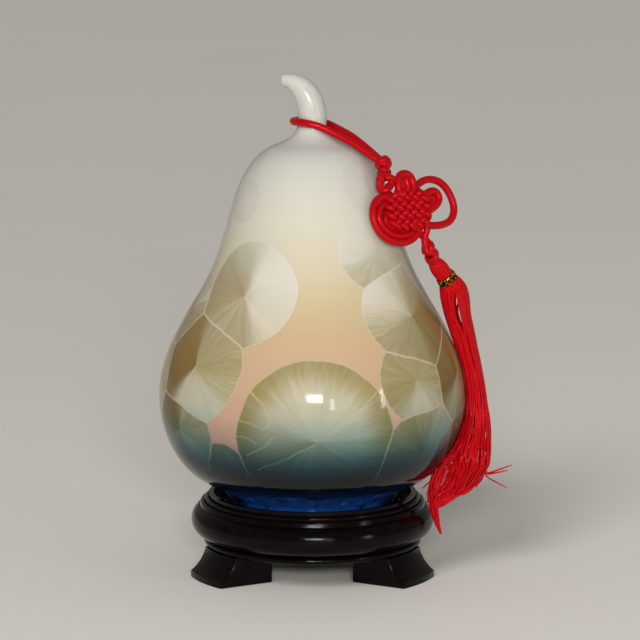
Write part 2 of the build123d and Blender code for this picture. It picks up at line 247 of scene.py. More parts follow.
def new_material(name, **constants):
    """Material with a Principled shader, whose constants are set on its own sockets."""
    material = bpy.data.materials.new(name)
    material.use_nodes = True
    graph = Graph(material.node_tree)
    shader = material.node_tree.nodes["Principled BSDF"]
    for key, value in constants.items():
        shader.inputs[key].default_value = value
    return material, graph, shader


def object_mm(graph):
    """Object coordinates in millimetres."""
    return scaled(graph, graph.node("ShaderNodeTexCoord").outputs["Object"], 1 / MM)


def scaled(graph, vector, amount):
    node = graph.node("ShaderNodeVectorMath", {0: vector}, operation="SCALE")
    graph.put(node.inputs["Scale"], amount)
    return node.outputs[0]


def bumped(graph, shader, height, strength, distance):
    """Fine relief in a shader's normal, from a height pattern."""
    inputs = {"Height": height, "Strength": strength, "Distance": distance * MM}
    bump = graph.node("ShaderNodeBump", inputs)
    graph.put(shader.inputs["Normal"], bump.outputs[0])


# Crystalline glaze. Each crystal grows from a centre until it meets its neighbours, at a straight border.
# Crystals: degrees round from the front (+ to the right), height and reach, then the painted sheen's
# direction (0 to the right, 90 up) and strength, a pale fan where light catches the needles, and the brown
# side's direction and strength

FRONT_CRYSTALS = [
    (-38.0, 112.0, 21.5, 12.0, 1.0, 155.0, 0.62),
    (-52.0, 86.0, 22.7, -80.0, 0.75, 165.0, 1.2),
    (-59.0, 60.5, 18.5, -50.0, 0.4, 140.0, 0.95),
    (-36.5, 50.0, 9.5, -20.0, 0.2, 150.0, 0.3),
    (1.0, 62.0, 30.2, 40.0, 0.0, 186.0, 0.46),
    (44.0, 128.0, 16.6, 140.0, 0.6, -70.0, 0.1),
    (54.0, 104.0, 23.0, 135.0, 0.6, -30.0, 0.85),
    (43.0, 82.0, 16.4, -80.0, 0.55, 60.0, 0.15),
    (74.0, 81.0, 20.0, -90.0, 0.3, 150.0, 1.15),
    (82.0, 113.0, 16.0, 150.0, 0.3, -20.0, 0.7),
    (47.0, 52.5, 20.5, 30.0, 0.55, -120.0, 0.2),
    (72.0, 134.0, 11.0, 120.0, 0.4, -60.0, 0.1),
    (82.0, 55.0, 19.5, 100.0, 0.4, -30.0, 0.5),
    (-88.0, 77.0, 17.5, -60.0, 0.5, 150.0, 0.9),
    (-80.0, 104.0, 15.5, 40.0, 0.4, 190.0, 0.5),
    (-88.0, 52.0, 14.5, -40.0, 0.5, 120.0, 0.5),
]
FAINT_CRYSTALS = [
    (-60.0, 146.0, 9.0, 200.0, 0.2, 20.0, 0.0),
    (-74.0, 159.0, 6.5, 60.0, 0.2, 200.0, 0.0),
    (48.0, 152.0, 11.5, 120.0, 0.2, -60.0, 0.0),
]
BACK_CRYSTALS = [
    (-112.0, 92.0, 19.0, 10.0, 0.9, 180.0, 0.5),
    (-122.0, 66.0, 22.0, -70.0, 0.8, 90.0, 0.5),
    (-104.0, 126.0, 12.5, 140.0, 0.7, -40.0, 0.1),
    (-150.0, 111.0, 18.0, 60.0, 0.9, 200.0, 0.4),
    (-163.0, 79.0, 22.0, 200.0, 0.7, 20.0, 0.7),
    (-146.0, 50.0, 17.0, -30.0, 0.6, 150.0, 0.4),
    (170.0, 54.0, 19.0, 80.0, 0.5, -90.0, 0.3),
    (158.0, 104.0, 19.0, 150.0, 0.8, -30.0, 0.5),
    (139.0, 71.0, 25.0, 90.0, 0.0, 0.0, 0.1),
    (118.0, 108.0, 17.0, 20.0, 0.7, 190.0, 0.4),
    (106.0, 80.0, 17.0, -60.0, 0.7, 100.0, 0.6),
    (110.0, 50.0, 16.0, -40.0, 0.5, 120.0, 0.4),
    (136.0, 136.0, 11.0, 100.0, 0.6, -80.0, 0.1),
    (-172.0, 138.0, 10.0, 45.0, 0.6, 220.0, 0.1),
]
# Creases in the large front crystal, as degrees round and height, with their half width
CREASES = [
    ([(-23.2, 79.5), (-18.1, 75.1), (-15.3, 69.8), (-16.0, 66.7)], 0.75),
    ([(-29.4, 69.8), (-22.1, 67.4), (-17.9, 65.8), (-16.0, 67.1)], 0.4),
    ([(-29.3, 62.2), (-24.8, 62.2), (-20.9, 60.6)], 0.35),
    ([(-25.3, 55.0), (-17.5, 59.3), (-13.9, 63.4)], 0.45),
    ([(2.1, 61.0), (-8.3, 55.3), (-21.7, 49.6)], 0.4),
    ([(5.0, 62.5), (13.7, 70.6), (24.3, 79.4)], 0.5),
]

BELLY_RADIUS = 58.0
GOURD_TREE = BVHTree.FromObject(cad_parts["gourd_body"], bpy.context.evaluated_depsgraph_get())


def gourd_radius(height):
    """Outer radius of the gourd, met by a line from its right side."""
    place = GOURD_TREE.ray_cast(Vector((0.2, 0.0, height * MM)), Vector((-1.0, 0.0, 0.0)))[0]
    return place.x / MM


def on_gourd(degrees, height):
    """Place on the gourd, from degrees round from the front and height."""
    radius = gourd_radius(height)
    turn = math.radians(degrees)
    return Vector((radius * math.sin(turn), -radius * math.cos(turn), height))


CRYSTAL_STATE = [
    ("Near", "F", 9000.0),
    ("Next", "F", 9000.0),
    ("Near Centre", "V", (0.0, 0.0, 0.0)),
    ("Next Centre", "V", (0.0, 0.0, 90.0)),
    ("Near Reach", "F", 1.0),
    ("Near Sheen Fan", "V", (0.0, 0.0, 0.0)),
    ("Near Brown", "V", (0.0, 0.0, 0.0)),
]


def crystal_group():
    """Keeps the nearest and the second nearest crystal of those met so far."""
    state = [(label, kind) for label, kind, _ in CRYSTAL_STATE]
    own = [("Place", "V"), ("Centre", "V"), ("Reach", "F"), ("Sheen Fan", "V"), ("Brown", "V")]
    graph, given, result = new_group("crystal", own + state, state)
    away = graph.vector("SUBTRACT", given["Place"], given["Centre"])
    square = graph.vector("DOT_PRODUCT", away, away, out=1)
    power = graph.math("SUBTRACT", square, graph.math("MULTIPLY", given["Reach"], given["Reach"]))
    first = graph.math("LESS_THAN", power, given["Near"])
    second = graph.math("LESS_THAN", power, given["Next"])
    graph.put(result["Near"], graph.math("MINIMUM", power, given["Near"]))
    later = graph.math("MAXIMUM", power, given["Near"])
    graph.put(result["Next"], graph.math("MINIMUM", later, given["Next"]))
    beside = graph.mix(second, given["Next Centre"], given["Centre"], "VECTOR")
    graph.put(result["Next Centre"], graph.mix(first, beside, given["Near Centre"], "VECTOR"))
    for label, kind in (("Centre", "VECTOR"), ("Reach", "FLOAT"), ("Sheen Fan", "VECTOR"), ("Brown", "VECTOR")):
        kept = f"Near {label}"
        graph.put(result[kept], graph.mix(first, given[kept], given[label], kind))
    return graph.tree


def crease_group():
    """Pale line from one place to another, over those drawn so far."""
    own = [("Place", "V"), ("Start", "V"), ("Run", "V"), ("Width", "F"), ("Line", "F")]
    graph, given, result = new_group("crease", own, [("Line", "F")])
    away = graph.vector("SUBTRACT", given["Place"], given["Start"])
    ahead = graph.vector("DOT_PRODUCT", away, given["Run"], out=1)
    whole = graph.vector("DOT_PRODUCT", given["Run"], given["Run"], out=1)
    share = graph.math("DIVIDE", ahead, whole, clamp=True)
    gap = graph.vector("DISTANCE", away, scaled(graph, given["Run"], share), out=1)
    line = graph.step(gap, given["Width"], graph.math("MULTIPLY", given["Width"], 0.25))
    graph.put(result["Line"], graph.math("MAXIMUM", line, given["Line"]))
    return graph.tree


GLAZE_LOW, GLAZE_HIGH = 24.0, 176.0
GLAZE_DEPTH = 0.88
GLAZE_IOR = 1.34


def height_ramp(graph, height, stops):
    """Colour by height on the gourd, from stops of height and picture colour."""
    inputs = {0: height, 1: GLAZE_LOW, 2: GLAZE_HIGH, 3: 0.0, 4: 1.0}
    share = graph.node("ShaderNodeMapRange", inputs).outputs[0]
    span = GLAZE_HIGH - GLAZE_LOW
    depth = (GLAZE_DEPTH, GLAZE_DEPTH, GLAZE_DEPTH, 1.0)
    shades = [tuple(part * by for part, by in zip(srgb(*colour), depth)) for _, colour in stops]
    return graph.ramp(share, [((z - GLAZE_LOW) / span, shade) for (z, _), shade in zip(stops, shades)])


# Glaze colours by height. Each ramp darkens to near black below about 60 mm: partly the glaze's own dark at
# the foot, partly painted shade under the belly.
GROUND_COLOURS = [
    (45.0, (10, 16, 20)),
    (50.0, (40, 46, 46)),
    (54.0, (100, 84, 80)),
    (60.0, (160, 130, 116)),
    (70.0, (190, 154, 132)),
    (84.0, (198, 166, 134)),
    (100.0, (204, 176, 138)),
    (112.0, (208, 188, 150)),
    (124.0, (211, 200, 172)),
    (140.0, (211, 206, 190)),
    (172.0, (205, 204, 198)),
]
OLIVE_COLOURS = [
    (45.0, (8, 14, 18)),
    (50.0, (18, 34, 36)),
    (55.0, (42, 60, 52)),
    (61.0, (86, 94, 62)),
    (68.0, (122, 116, 70)),
    (80.0, (150, 136, 84)),
    (104.0, (156, 142, 98)),
    (116.0, (172, 160, 120)),
    (128.0, (184, 180, 158)),
    (145.0, (196, 192, 180)),
]
PALE_COLOURS = [
    (45.0, (10, 20, 28)),
    (50.0, (30, 58, 70)),
    (54.0, (58, 92, 98)),
    (59.0, (108, 136, 134)),
    (65.0, (150, 162, 150)),
    (73.0, (188, 184, 162)),
    (86.0, (200, 191, 163)),
    (104.0, (214, 205, 182)),
    (120.0, (222, 216, 202)),
    (145.0, (212, 210, 202)),
]
BROWN_COLOURS = [
    (44.0, (12, 16, 14)),
    (52.0, (40, 42, 24)),
    (62.0, (82, 74, 32)),
    (74.0, (112, 86, 32)),
    (90.0, (136, 106, 48)),
    (110.0, (150, 130, 84)),
    (128.0, (176, 168, 144)),
]
OUTLINE_COLOURS = [
    (43.0, (18, 30, 44)),
    (50.0, (60, 80, 80)),
    (58.0, (138, 142, 124)),
    (70.0, (190, 176, 150)),
    (84.0, (208, 194, 166)),
    (100.0, (220, 206, 180)),
    (130.0, (222, 218, 206)),
    (160.0, (213, 211, 205)),
]
CREASE_COLOURS = [
    (46.0, (20, 38, 46)),
    (54.0, (84, 118, 112)),
    (60.0, (140, 150, 116)),
    (68.0, (178, 170, 122)),
    (80.0, (198, 188, 146)),
]
# Near black from 38 to 46 mm, above the cobalt: partly the glaze's own dark, partly painted shade under the
# belly.
BAND_COLOURS = [
    (27.0, (8, 20, 56)),
    (30.0, (24, 74, 150)),
    (34.5, (22, 66, 136)),
    (38.0, (10, 26, 58)),
    (41.0, (5, 9, 16)),
    (46.0, (12, 20, 24)),
]
# Foot band: pale runs, dark gaps between them, and painted shade and painted reflection of the dark stand
# either side of the front
BAND_SHADE_WAVES = 2.6
BAND_RUN = (74, 122, 172)
BAND_GAP = (5, 11, 30)
BAND_SIDE_SHADE = (6, 8, 22)
BAND_TOP = (45.5, 41.5)
CLAY = (206, 190, 164)
CLAY_LINE = (26.9, 26.5)
# Wander of the crystals' edges, broad and fine
EDGE_WOBBLE = 1.8
EDGE_RIPPLE = 0.3
CREASE_STRENGTH = 0.45
PALE_SHARE = 0.3


def met_crystals(graph, place):
    """Nearest crystal and its neighbour at each place, from the chain of all the crystals."""
    tree = crystal_group()
    state = {label: value for label, _, value in CRYSTAL_STATE}
    for degrees, height, reach, sheen_turn, sheen_strength, brown, brown_strength in (
        FRONT_CRYSTALS + FAINT_CRYSTALS + BACK_CRYSTALS
    ):
        node = graph.node("ShaderNodeGroup", node_tree=tree)
        node.inputs["Centre"].default_value = on_gourd(degrees, height)
        node.inputs["Reach"].default_value = reach
        for label, turn, strength in (("Sheen Fan", sheen_turn, sheen_strength), ("Brown", brown, brown_strength)):
            turn = math.radians(turn)
            node.inputs[label].default_value = (strength * math.cos(turn), strength * math.sin(turn), 0.0)
        graph.put(node.inputs["Place"], place)
        for key, value in state.items():
            graph.put(node.inputs[key], value)
        state = {key: node.outputs[key] for key in state}
    return state


def drawn_creases(graph, place):
    """Creases on the surface unrolled round the belly, so that a straight one follows the curve."""
    tree = crease_group()
    x, y, height = graph.split(place)
    turn = graph.math("ARCTAN2", x, graph.math("MULTIPLY", y, -1.0))
    unrolled = graph.join(graph.math("MULTIPLY", turn, BELLY_RADIUS), height, 0.0)
    line = 0.0
    for points, width in CREASES:
        places = [Vector((math.radians(degrees) * BELLY_RADIUS, height, 0.0)) for degrees, height in points]
        for start, end in zip(places, places[1:]):
            node = graph.node("ShaderNodeGroup", node_tree=tree)
            node.inputs["Start"].default_value = start
            node.inputs["Run"].default_value = end - start
            node.inputs["Width"].default_value = width
            graph.put(node.inputs["Place"], unrolled)
            graph.put(node.inputs["Line"], line)
            line = node.outputs["Line"]
    return line


def crystalline_glaze():
    """Rayed crystals on a warm ground, over a cobalt band at the foot."""
    material, graph, shader = new_material("crystalline_glaze", IOR=GLAZE_IOR)
    place = object_mm(graph)
    wobble = graph.vector("SUBTRACT", graph.noise(place, 0.11, 2.0, out="Color"), (0.5, 0.5, 0.5))
    ripple = graph.vector("SUBTRACT", graph.noise(place, 0.8, 2.0, out="Color"), (0.5, 0.5, 0.5))
    warped = graph.vector("ADD", place, scaled(graph, wobble, EDGE_WOBBLE))
    warped = graph.vector("ADD", warped, scaled(graph, ripple, EDGE_RIPPLE))
    met = met_crystals(graph, warped)

    away = graph.vector("SUBTRACT", warped, met["Near Centre"])
    reach = met["Near Reach"]
    look = graph.node("ShaderNodeTexWhiteNoise", {"Vector": met["Near Centre"]}).outputs["Value"]
    distance = graph.vector("LENGTH", away, out=1)
    share = graph.math("DIVIDE", distance, reach)
    to_rim = graph.math("SUBTRACT", reach, distance)
    apart = graph.vector("DISTANCE", met["Near Centre"], met["Next Centre"], out=1)
    gain = graph.math("SUBTRACT", met["Next"], met["Near"])
    to_border = graph.math("DIVIDE", gain, graph.math("MULTIPLY", apart, 2.0))
    to_edge = graph.math("MINIMUM", to_rim, to_border)
    inside = graph.step(to_rim, -0.15, 0.25)

    # Direction from the crystal's centre, across and up the surface
    centre = graph.split(met["Near Centre"])
    across = graph.vector("NORMALIZE", graph.join(graph.math("MULTIPLY", centre[1], -1.0), centre[0], 0.0))
    side = graph.vector("DOT_PRODUCT", away, across, out=1)
    up = graph.split(away)[2]
    heading = graph.vector("NORMALIZE", graph.join(side, up, 0.0))
    along = graph.math("MULTIPLY_ADD", look, 37.0, graph.math("MULTIPLY", share, 0.1))
    turn = graph.split(heading)
    ray_place = graph.join(turn[0], turn[1], along)
    own_turn = graph.math("MULTIPLY", look, 2 * math.pi)
    own = graph.join(graph.math("COSINE", own_turn), graph.math("SINE", own_turn), 0.0)
    ahead = graph.vector("DOT_PRODUCT", heading, own, out=1)
    beside = graph.split(graph.vector("CROSS_PRODUCT", own, heading))[2]
    angle = graph.math("ARCTAN2", beside, ahead)
    fine = graph.noise(ray_place, 32.0, 3.0, 0.6)
    broad = graph.noise(ray_place, 4.0, 2.0, 0.5)
    sector_place = graph.math("MULTIPLY_ADD", look, 61.0, graph.math("MULTIPLY", angle, 0.8))
    sectors = graph.node("ShaderNodeTexVoronoi", {"W": sector_place, "Scale": 1.0}, voronoi_dimensions="1D")
    sector = graph.split(sectors.outputs["Color"])

    height = graph.split(place)[2]
    ground = height_ramp(graph, height, GROUND_COLOURS)
    olive = height_ramp(graph, height, OLIVE_COLOURS)
    pale = height_ramp(graph, height, PALE_COLOURS)
    brown = height_ramp(graph, height, BROWN_COLOURS)
    outline = height_ramp(graph, height, OUTLINE_COLOURS)

    # Olive rim, pale middle and heart, then a pale fan on one side that is painted sheen off the needles, and
    # the crystal's own brown side
    toward_sheen = graph.vector("DOT_PRODUCT", heading, met["Near Sheen Fan"], out=1)
    toward_brown = graph.vector("DOT_PRODUCT", heading, met["Near Brown"], out=1)
    bare_middle = graph.step(graph.vector("LENGTH", met["Near Sheen Fan"], out=1), 0.3, 0.0)
    upward = graph.step(turn[1], -0.5, 0.35, 0.3, 1.0)
    middle = graph.math("MULTIPLY", graph.step(share, 1.0, 0.55, -0.12, 0.48), bare_middle)
    middle = graph.math("MULTIPLY", middle, upward)
    streak = graph.math("MULTIPLY", graph.math("SUBTRACT", fine, 0.5), graph.step(share, 0.1, 0.85, 0.1, 0.6))
    cloud = graph.math("MULTIPLY", graph.math("SUBTRACT", broad, 0.5), 0.45)
    cut = graph.math("SUBTRACT", 1.0, bare_middle)
    facet = graph.math("MULTIPLY", graph.math("SUBTRACT", sector[0], 0.5), graph.math("MULTIPLY", cut, 0.16))
    # Painted sheen: the crystal is paler on the side that its fan faces.
    sheen_fan = graph.math("MULTIPLY", graph.step(toward_sheen, 0.1, 0.9), graph.step(share, 0.0, 0.45, 0.35, 0.8))
    amount = graph.math("ADD", graph.math("ADD", middle, streak), graph.math("ADD", cloud, facet))
    amount = graph.math("ADD", graph.math("ADD", amount, sheen_fan), PALE_SHARE)
    crystal = graph.mix(graph.step(amount, 0.0, 1.0), olive, pale)
    dark = graph.math("ADD", toward_brown, graph.math("MULTIPLY", graph.math("SUBTRACT", fine, 0.5), 0.35))
    crystal = graph.mix(graph.step(dark, 0.25, 0.8, 0.0, 0.9), crystal, brown)
    tone = graph.step(sector[1], 0.0, 1.0, 0.95, 1.03)
    crystal = graph.mix(cut, crystal, graph.join(tone, tone, tone), mode="MULTIPLY")

    # Crystals fade into the pale glaze near the top
    shown = graph.math("MULTIPLY", inside, graph.step(height, 150.0, 118.0, 0.4, 1.0))
    colour = graph.mix(shown, ground, crystal)
    line = graph.math("MULTIPLY", graph.step(to_edge, 0.6, 0.1), inside)
    line = graph.math("MULTIPLY", line, graph.step(height, 146.0, 116.0, 0.3, 0.65))
    colour = graph.mix(line, colour, outline)
    crease_share = graph.math("MULTIPLY", inside, CREASE_STRENGTH)
    crease = graph.math("MULTIPLY", drawn_creases(graph, warped), crease_share)
    colour = graph.mix(crease, colour, height_ramp(graph, height, CREASE_COLOURS))

    # Cobalt band with pale runs at the foot, painted shade and reflection at its sides, and bare clay under
    # it
    runs = graph.noise(graph.vector("MULTIPLY", place, (1.0, 1.0, 0.16)), 0.2, 3.0, 0.6)
    band = height_ramp(graph, height, BAND_COLOURS)
    wet = graph.step(height, 38.0, 34.0)
    pale_run = graph.math("MULTIPLY", graph.step(runs, 0.56, 0.7, 0.0, 0.75), wet)
    band = graph.mix(pale_run, band, srgb(*BAND_RUN))
    band = graph.mix(graph.step(runs, 0.46, 0.34, 0.0, 0.85), band, srgb(*BAND_GAP))
    x, y, _ = graph.split(place)
    turn_round = graph.math("ARCTAN2", x, graph.math("MULTIPLY", y, -1.0))
    # Painted shade and painted reflection of the dark stand: the band darkens either side of the front, about
    # 70 degrees round.
    side_shade_wave = graph.math("COSINE", graph.math("MULTIPLY", turn_round, BAND_SHADE_WAVES))
    band = graph.mix(graph.step(side_shade_wave, -0.3, -0.95, 0.0, 0.85), band, srgb(*BAND_SIDE_SHADE))
    colour = graph.mix(graph.step(height, *BAND_TOP), colour, band)
    bare = graph.step(height, *CLAY_LINE)
    colour = graph.mix(bare, colour, srgb(*CLAY))
    graph.put(shader.inputs["Base Color"], colour)
    gloss = graph.step(fine, 0.2, 0.8, 0.07, 0.13)
    graph.put(shader.inputs["Roughness"], graph.mix(bare, gloss, 0.75, "FLOAT"))
    swell = graph.math("MULTIPLY", graph.noise(place, 0.07, 1.0), 1.2)
    relief = graph.math("ADD", swell, graph.math("MULTIPLY", line, 0.03))
    bumped(graph, shader, relief, 0.25, 1.0)
    return material


def pale_glaze():
    """Clouded off-white glaze with faint specks."""
    material, graph, shader = new_material("pale_glaze", IOR=GLAZE_IOR)
    place = object_mm(graph)
    cloud = graph.noise(place, 0.12, 3.0)
    colour = graph.mix(graph.step(cloud, 0.3, 0.7), srgb(186, 184, 176), srgb(196, 194, 186))
    speck = graph.noise(place, 1.6, 2.0)
    colour = graph.mix(graph.step(speck, 0.64, 0.76, 0.0, 0.2), colour, srgb(170, 162, 148))
    graph.put(shader.inputs["Base Color"], colour)
    graph.put(shader.inputs["Roughness"], graph.step(cloud, 0.2, 0.8, 0.14, 0.24))
    bumped(graph, shader, cloud, 0.2, 0.6)
    return material


def grain_group():
    """Long wood grain along a piece, as a tone and a fine line pattern."""
    own = [("Place", "V"), ("Pores", "F")]
    graph, given, result = new_group("wood_grain", own, [("Tone", "F"), ("Line", "F")])
    stretched = graph.vector("MULTIPLY", given["Place"], (0.035, 0.35, 0.35))
    bend = graph.noise(given["Place"], 0.03, 2.0)
    rings = graph.noise(graph.vector("ADD", stretched, graph.join(bend, bend, bend)), 1.1, 4.0, 0.62)
    fine = graph.vector("MULTIPLY", given["Place"], (0.12, 2.4, 2.4))
    line = graph.noise(fine, given["Pores"], 2.0, 0.7)
    graph.put(result["Tone"], rings)
    graph.put(result["Line"], line)
    return graph.tree


def lacquered_wood(name, dark, light, grain, pores, ior):
    """Grained wood under a smooth finish."""
    material, graph, shader = new_material(name, IOR=ior)
    node = graph.node("ShaderNodeGroup", node_tree=grain)
    graph.put(node.inputs["Place"], object_mm(graph))
    node.inputs["Pores"].default_value = pores
    tone, line = node.outputs
    colour = graph.mix(graph.step(tone, 0.4, 0.75), dark, light)
    colour = graph.mix(graph.step(line, 0.55, 0.8, 0.0, 0.35), colour, dark)
    graph.put(shader.inputs["Base Color"], colour)
    graph.put(shader.inputs["Roughness"], graph.step(tone, 0.2, 0.8, 0.1, 0.17))
    bumped(graph, shader, line, 0.1, 0.3)
    return material


def silk_group():
    """Fine threads laid along a cord with a slow twist, from its own UV map: a tone and a height."""
    own = [("Threads", "F"), ("Twist", "F")]
    graph, given, result = new_group("silk_lay", own, [("Tone", "F"), ("Height", "F")])
    uv = graph.split(graph.node("ShaderNodeTexCoord").outputs["UV"])
    around = graph.math("MULTIPLY", uv[1], given["Threads"])
    phase = graph.math("MULTIPLY_ADD", uv[0], given["Twist"], around)
    wave = graph.math("SINE", graph.math("MULTIPLY", phase, 2 * math.pi))
    graph.put(result["Height"], wave)
    graph.put(result["Tone"], graph.step(wave, -1.0, 1.0))
    return graph.tree


SILK_GLOSS = {"Specular IOR Level": 1.0, "Specular Tint": srgb(255, 84, 92)}


def silk(name, deep, bright, lay, threads, twist, strength):
    """Satin red cord or thread."""
    material, graph, shader = new_material(name, **SILK_GLOSS)
    node = graph.node("ShaderNodeGroup", node_tree=lay)
    node.inputs["Threads"].default_value = threads
    node.inputs["Twist"].default_value = twist
    mottle = graph.noise(object_mm(graph), 0.9, 2.0)
    colour = graph.mix(node.outputs["Tone"], deep, bright)
    colour = graph.mix(graph.step(mottle, 0.35, 0.7, 0.0, 0.4), colour, deep)
    graph.put(shader.inputs["Base Color"], colour)
    graph.put(shader.inputs["Roughness"], graph.step(mottle, 0.3, 0.7, 0.3, 0.4))
    bumped(graph, shader, node.outputs["Height"], strength, 0.2)
    return material


def gold_thread():
    """Metal thread, dark and bright by turns; the bright spots are painted glints."""
    material, graph, shader = new_material("gold_thread", Metallic=1.0)
    glint = graph.noise(object_mm(graph), 1.5, 2.0)
    # Painted glints: bright gold spots on a darker gold.
    colour = graph.mix(graph.step(glint, 0.5, 0.64), srgb(58, 36, 10), srgb(232, 184, 84))
    graph.put(shader.inputs["Base Color"], colour)
    graph.put(shader.inputs["Roughness"], graph.step(glint, 0.4, 0.65, 0.46, 0.24))
    return material


# Finishes

GRAIN = grain_group()
LAY = silk_group()
GLAZE = crystalline_glaze()
STEM_GLAZE = pale_glaze()
LACQUER = lacquered_wood("black_lacquer", srgb(5, 3, 3), srgb(15, 7, 6), GRAIN, 1.0, 1.2)
DOWEL_WOOD = lacquered_wood("dowel_wood", srgb(150, 112, 70), srgb(190, 150, 102), GRAIN, 1.4, 1.3)
CORD_SILK = silk("red_cord", srgb(152, 2, 10), srgb(186, 6, 20), LAY, 16.0, 5.0, 0.1)
THREAD_SILK = silk("red_thread", srgb(164, 3, 11), srgb(200, 8, 20), LAY, 3.0, 12.0, 0.2)
GOLD = gold_thread()

NODE_FINISHES = {
    "gourd_body": GLAZE,
    "stem_stopper": STEM_GLAZE,
    "stand_plinth": LACQUER,
    "stand_dish": LACQUER,
    "foot_back": LACQUER,
    "foot_front_left": LACQUER,
    "foot_front_right": LACQUER,
    "foot_dowels": DOWEL_WOOD,
}
for node_name, finish in NODE_FINISHES.items():
    node_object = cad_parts[node_name]
    node_object.data.materials.clear()
    node_object.data.materials.append(finish)


# Cord and knots

KNOT_ACROSS = Vector((math.cos(KNOT_TURN), math.sin(KNOT_TURN), 0.0))
KNOT_FACING = Vector((KNOT_ACROSS.y, -KNOT_ACROSS.x, math.tan(KNOT_LEAN))).normalized()
KNOT_UP = KNOT_FACING.cross(KNOT_ACROSS)


def on_knot(across, up, out=0.0):
    """Place on the leaning plane of the woven knot."""
    return KNOT_CENTRE + KNOT_ACROSS * across + KNOT_UP * up + KNOT_FACING * out


def hanging_loop():
    """Cord round the stem, with the place where it enters the button knot."""
    route = [(x, y, NECK_Z + z) for x, y, z in LOOP_ROUTE]
    piece = curve_piece("cord_loop", [route], CORD_DIAMETER / 2, around=4, along=10)
    dress(piece, "loop", "red_cord", CORD_SILK, "hanging_loop")
    return piece, Vector(route[0]) * MM


def ring(centre, first, second, radius, count=10):
    """Round of control points, with its ends overlapped so that the seam is hidden."""
    points = []
    for step in range(count + 2):
        turn = 2 * math.pi * step / count
        points.append(tuple(centre + (first * math.cos(turn) + second * math.sin(turn)) * radius))
    return points


BUTTON_ROUND = 2.25
BUTTON_BELT = 2.3
BUTTON_NECK = 1.7
BUTTON_CORD = 1.15


def button_knot():
    """Ball of cord: rounds of cord over each other, and a pair of cords on to the next knot."""
    top_loop_place = on_knot(*TOP_LOOP_AT)
    along = (top_loop_place - BUTTON_CENTRE).normalized()
    first = along.orthogonal().normalized()
    second = along.cross(first)
    routes = []
    for step in range(3):
        turn = math.radians(60.0 * step + 20.0)
        lean = first * math.cos(turn) + second * math.sin(turn)
        normal = (lean + along * 0.9).normalized()
        one = normal.orthogonal().normalized()
        routes.append(ring(BUTTON_CENTRE, one, normal.cross(one), BUTTON_ROUND))
    routes.append(ring(BUTTON_CENTRE + along * 0.3, first, second, BUTTON_BELT))
    routes.append(ring(BUTTON_CENTRE.lerp(top_loop_place, 0.5), first, second, BUTTON_NECK))
    tail = BUTTON_CENTRE + along * 1.0
    end = top_loop_place - along * 1.2
    for side in (-0.9, 0.9):
        bow = tail.lerp(end, 0.5) + first * side * 1.2
        routes.append([tuple(tail + first * side), tuple(bow), tuple(end - first * side * 0.6)])
    piece = cords("cord_button_knot", routes, BUTTON_CORD)
    dress(piece, "knot", "red_cord", CORD_SILK, "button_knot")
    return piece


def top_loop():
    """Small woven loop: a round of cord with a second one that waves over and under it."""
    across, up = TOP_LOOP_AT
    routes = [ring(on_knot(across, up), KNOT_ACROSS, KNOT_UP, TOP_LOOP_RADIUS)]
    wave = []
    for step in range(15):
        turn = 2 * math.pi * step / 12
        reach = TOP_LOOP_RADIUS + 1.1 * math.cos(3 * turn)
        lift = 1.5 * math.sin(3 * turn)
        wave.append(tuple(on_knot(across + reach * math.cos(turn), up + reach * math.sin(turn), lift)))
    routes.append(wave)
    piece = cords("cord_top_loop", routes, 1.25)
    dress(piece, "knot", "red_cord", CORD_SILK, "knot_top_loop")


WEAVE_COLUMNS = 10
WEAVE_ROWS = 9
WEAVE_HALF_WIDTH = 9.9
WEAVE_HALF_HEIGHT = 8.0
WEAVE_ROUNDING = 0.34
WEAVE_LIFT = 2.35
WEAVE_CROWN = 0.7
WEAVE_RADIUS = 1.22


def folded(step, count):
    """Goes up from 0 to a count and back again."""
    step %= 2 * count
    return step if step <= count else 2 * count - step


def weave_place(column, row, out):
    """Place in the rounded, slightly crowned weave, from its column and row."""
    u = 2 * column / WEAVE_COLUMNS - 1
    v = 2 * row / WEAVE_ROWS - 1
    across = u * WEAVE_HALF_WIDTH * math.sqrt(1 - WEAVE_ROUNDING * v * v)
    up = v * WEAVE_HALF_HEIGHT * math.sqrt(1 - WEAVE_ROUNDING * u * u)
    return tuple(on_knot(across, up, out + WEAVE_CROWN * (1 - u * u) * (1 - v * v)))


def woven_knot():
    """One cord that runs slantwise between the edges, over and under itself, and two crossed cords below."""
    weave = [weave_place(2.5, 2.0, 0.0)]
    for step in range(WEAVE_COLUMNS * WEAVE_ROWS + 1):
        column, row = folded(step, WEAVE_COLUMNS), folded(step, WEAVE_ROWS)
        rightward = (step // WEAVE_COLUMNS) % 2 == 0
        upward = (step // WEAVE_ROWS) % 2 == 0
        inside = 0 < column < WEAVE_COLUMNS and 0 < row < WEAVE_ROWS
        over = (rightward == upward) == (column % 2 == 0)
        lift = (WEAVE_LIFT if over else -WEAVE_LIFT) if inside else 0.0
        weave.append(weave_place(column, row, lift))
    weave.append(weave_place(WEAVE_COLUMNS - 2.5, 2.0, 0.0))
    pivot = TASSEL_PIVOT - KNOT_CENTRE
    end_across, end_up = pivot.dot(KNOT_ACROSS), pivot.dot(KNOT_UP)
    tails = []
    for side in (-1.0, 1.0):
        tails.append([
            tuple(on_knot(4.4 + 2.2 * side, -3.0, 0.6)),
            tuple(on_knot(4.6 + 2.4 * side, -7.4, 1.2 + 0.7 * side)),
            tuple(on_knot(5.6 + 0.2 * side, -10.2, 0.9 * side)),
            tuple(on_knot(end_across - 1.2 * side, end_up + 1.4, 0.0)),
            tuple(on_knot(end_across - 0.2 * side, end_up - 3.0, 0.0)),
        ])
    body = cords("weave", [weave], WEAVE_RADIUS, along=5)
    below = cords("tails", tails, 1.3)
    piece = join("cord_woven_knot", [body, below])
    dress(piece, "knot", "red_cord", CORD_SILK, "woven_knot")


